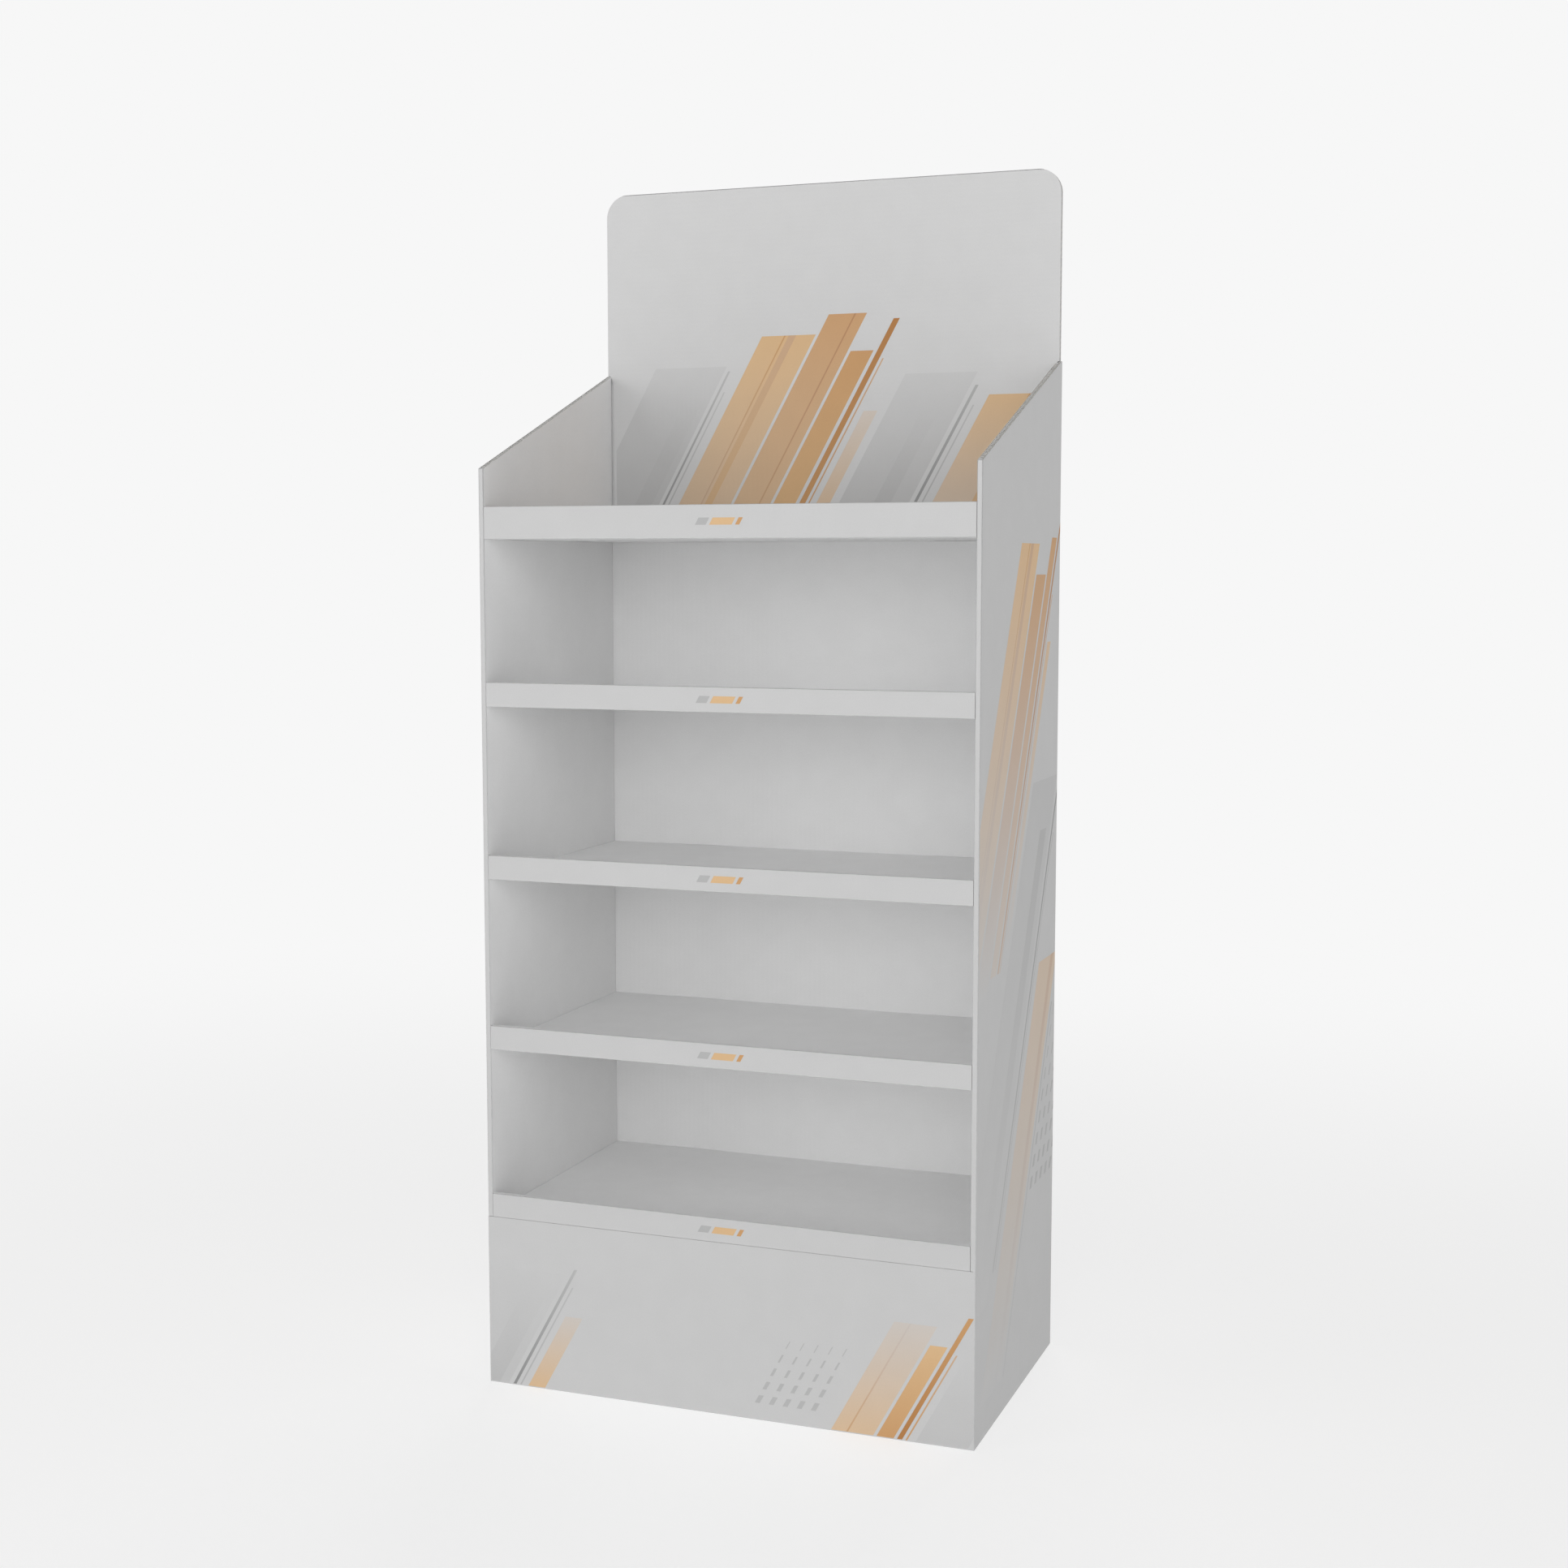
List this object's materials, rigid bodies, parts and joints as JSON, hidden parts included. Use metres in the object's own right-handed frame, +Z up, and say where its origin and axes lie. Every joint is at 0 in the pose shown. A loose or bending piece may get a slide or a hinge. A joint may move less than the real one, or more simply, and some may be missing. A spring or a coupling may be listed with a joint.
{
  "type": "cardboard display stand",
  "caption": "Free-standing corrugated board display stand with open front bays between doubled side walls, lipped shelf trays, a plinth and a rounded header card.",
  "frame": {"origin": "on the floor, under the middle of the stand's footprint", "axes": "+Z up, -Y out of the open front, X across the width, about which the stand is mirrored"},
  "size_m": [0.6, 0.36, 1.447],
  "materials": {
    "printed_board": "matt white printed board",
    "plain_board": "matt white board",
    "header_board": "matt white printed board",
    "tray_board": "matt white board"
  },
  "bodies": {
    "root": {"outer_body": "printed_board", "base_liner": "plain_board", "inner_back_panel": "plain_board", "header_card": "header_board", "shelf_tray_1": "tray_board", "shelf_tray_2": "tray_board", "shelf_tray_3": "tray_board", "shelf_tray_4": "tray_board", "shelf_tray_5": "tray_board"}
  },
  "joints": []
}
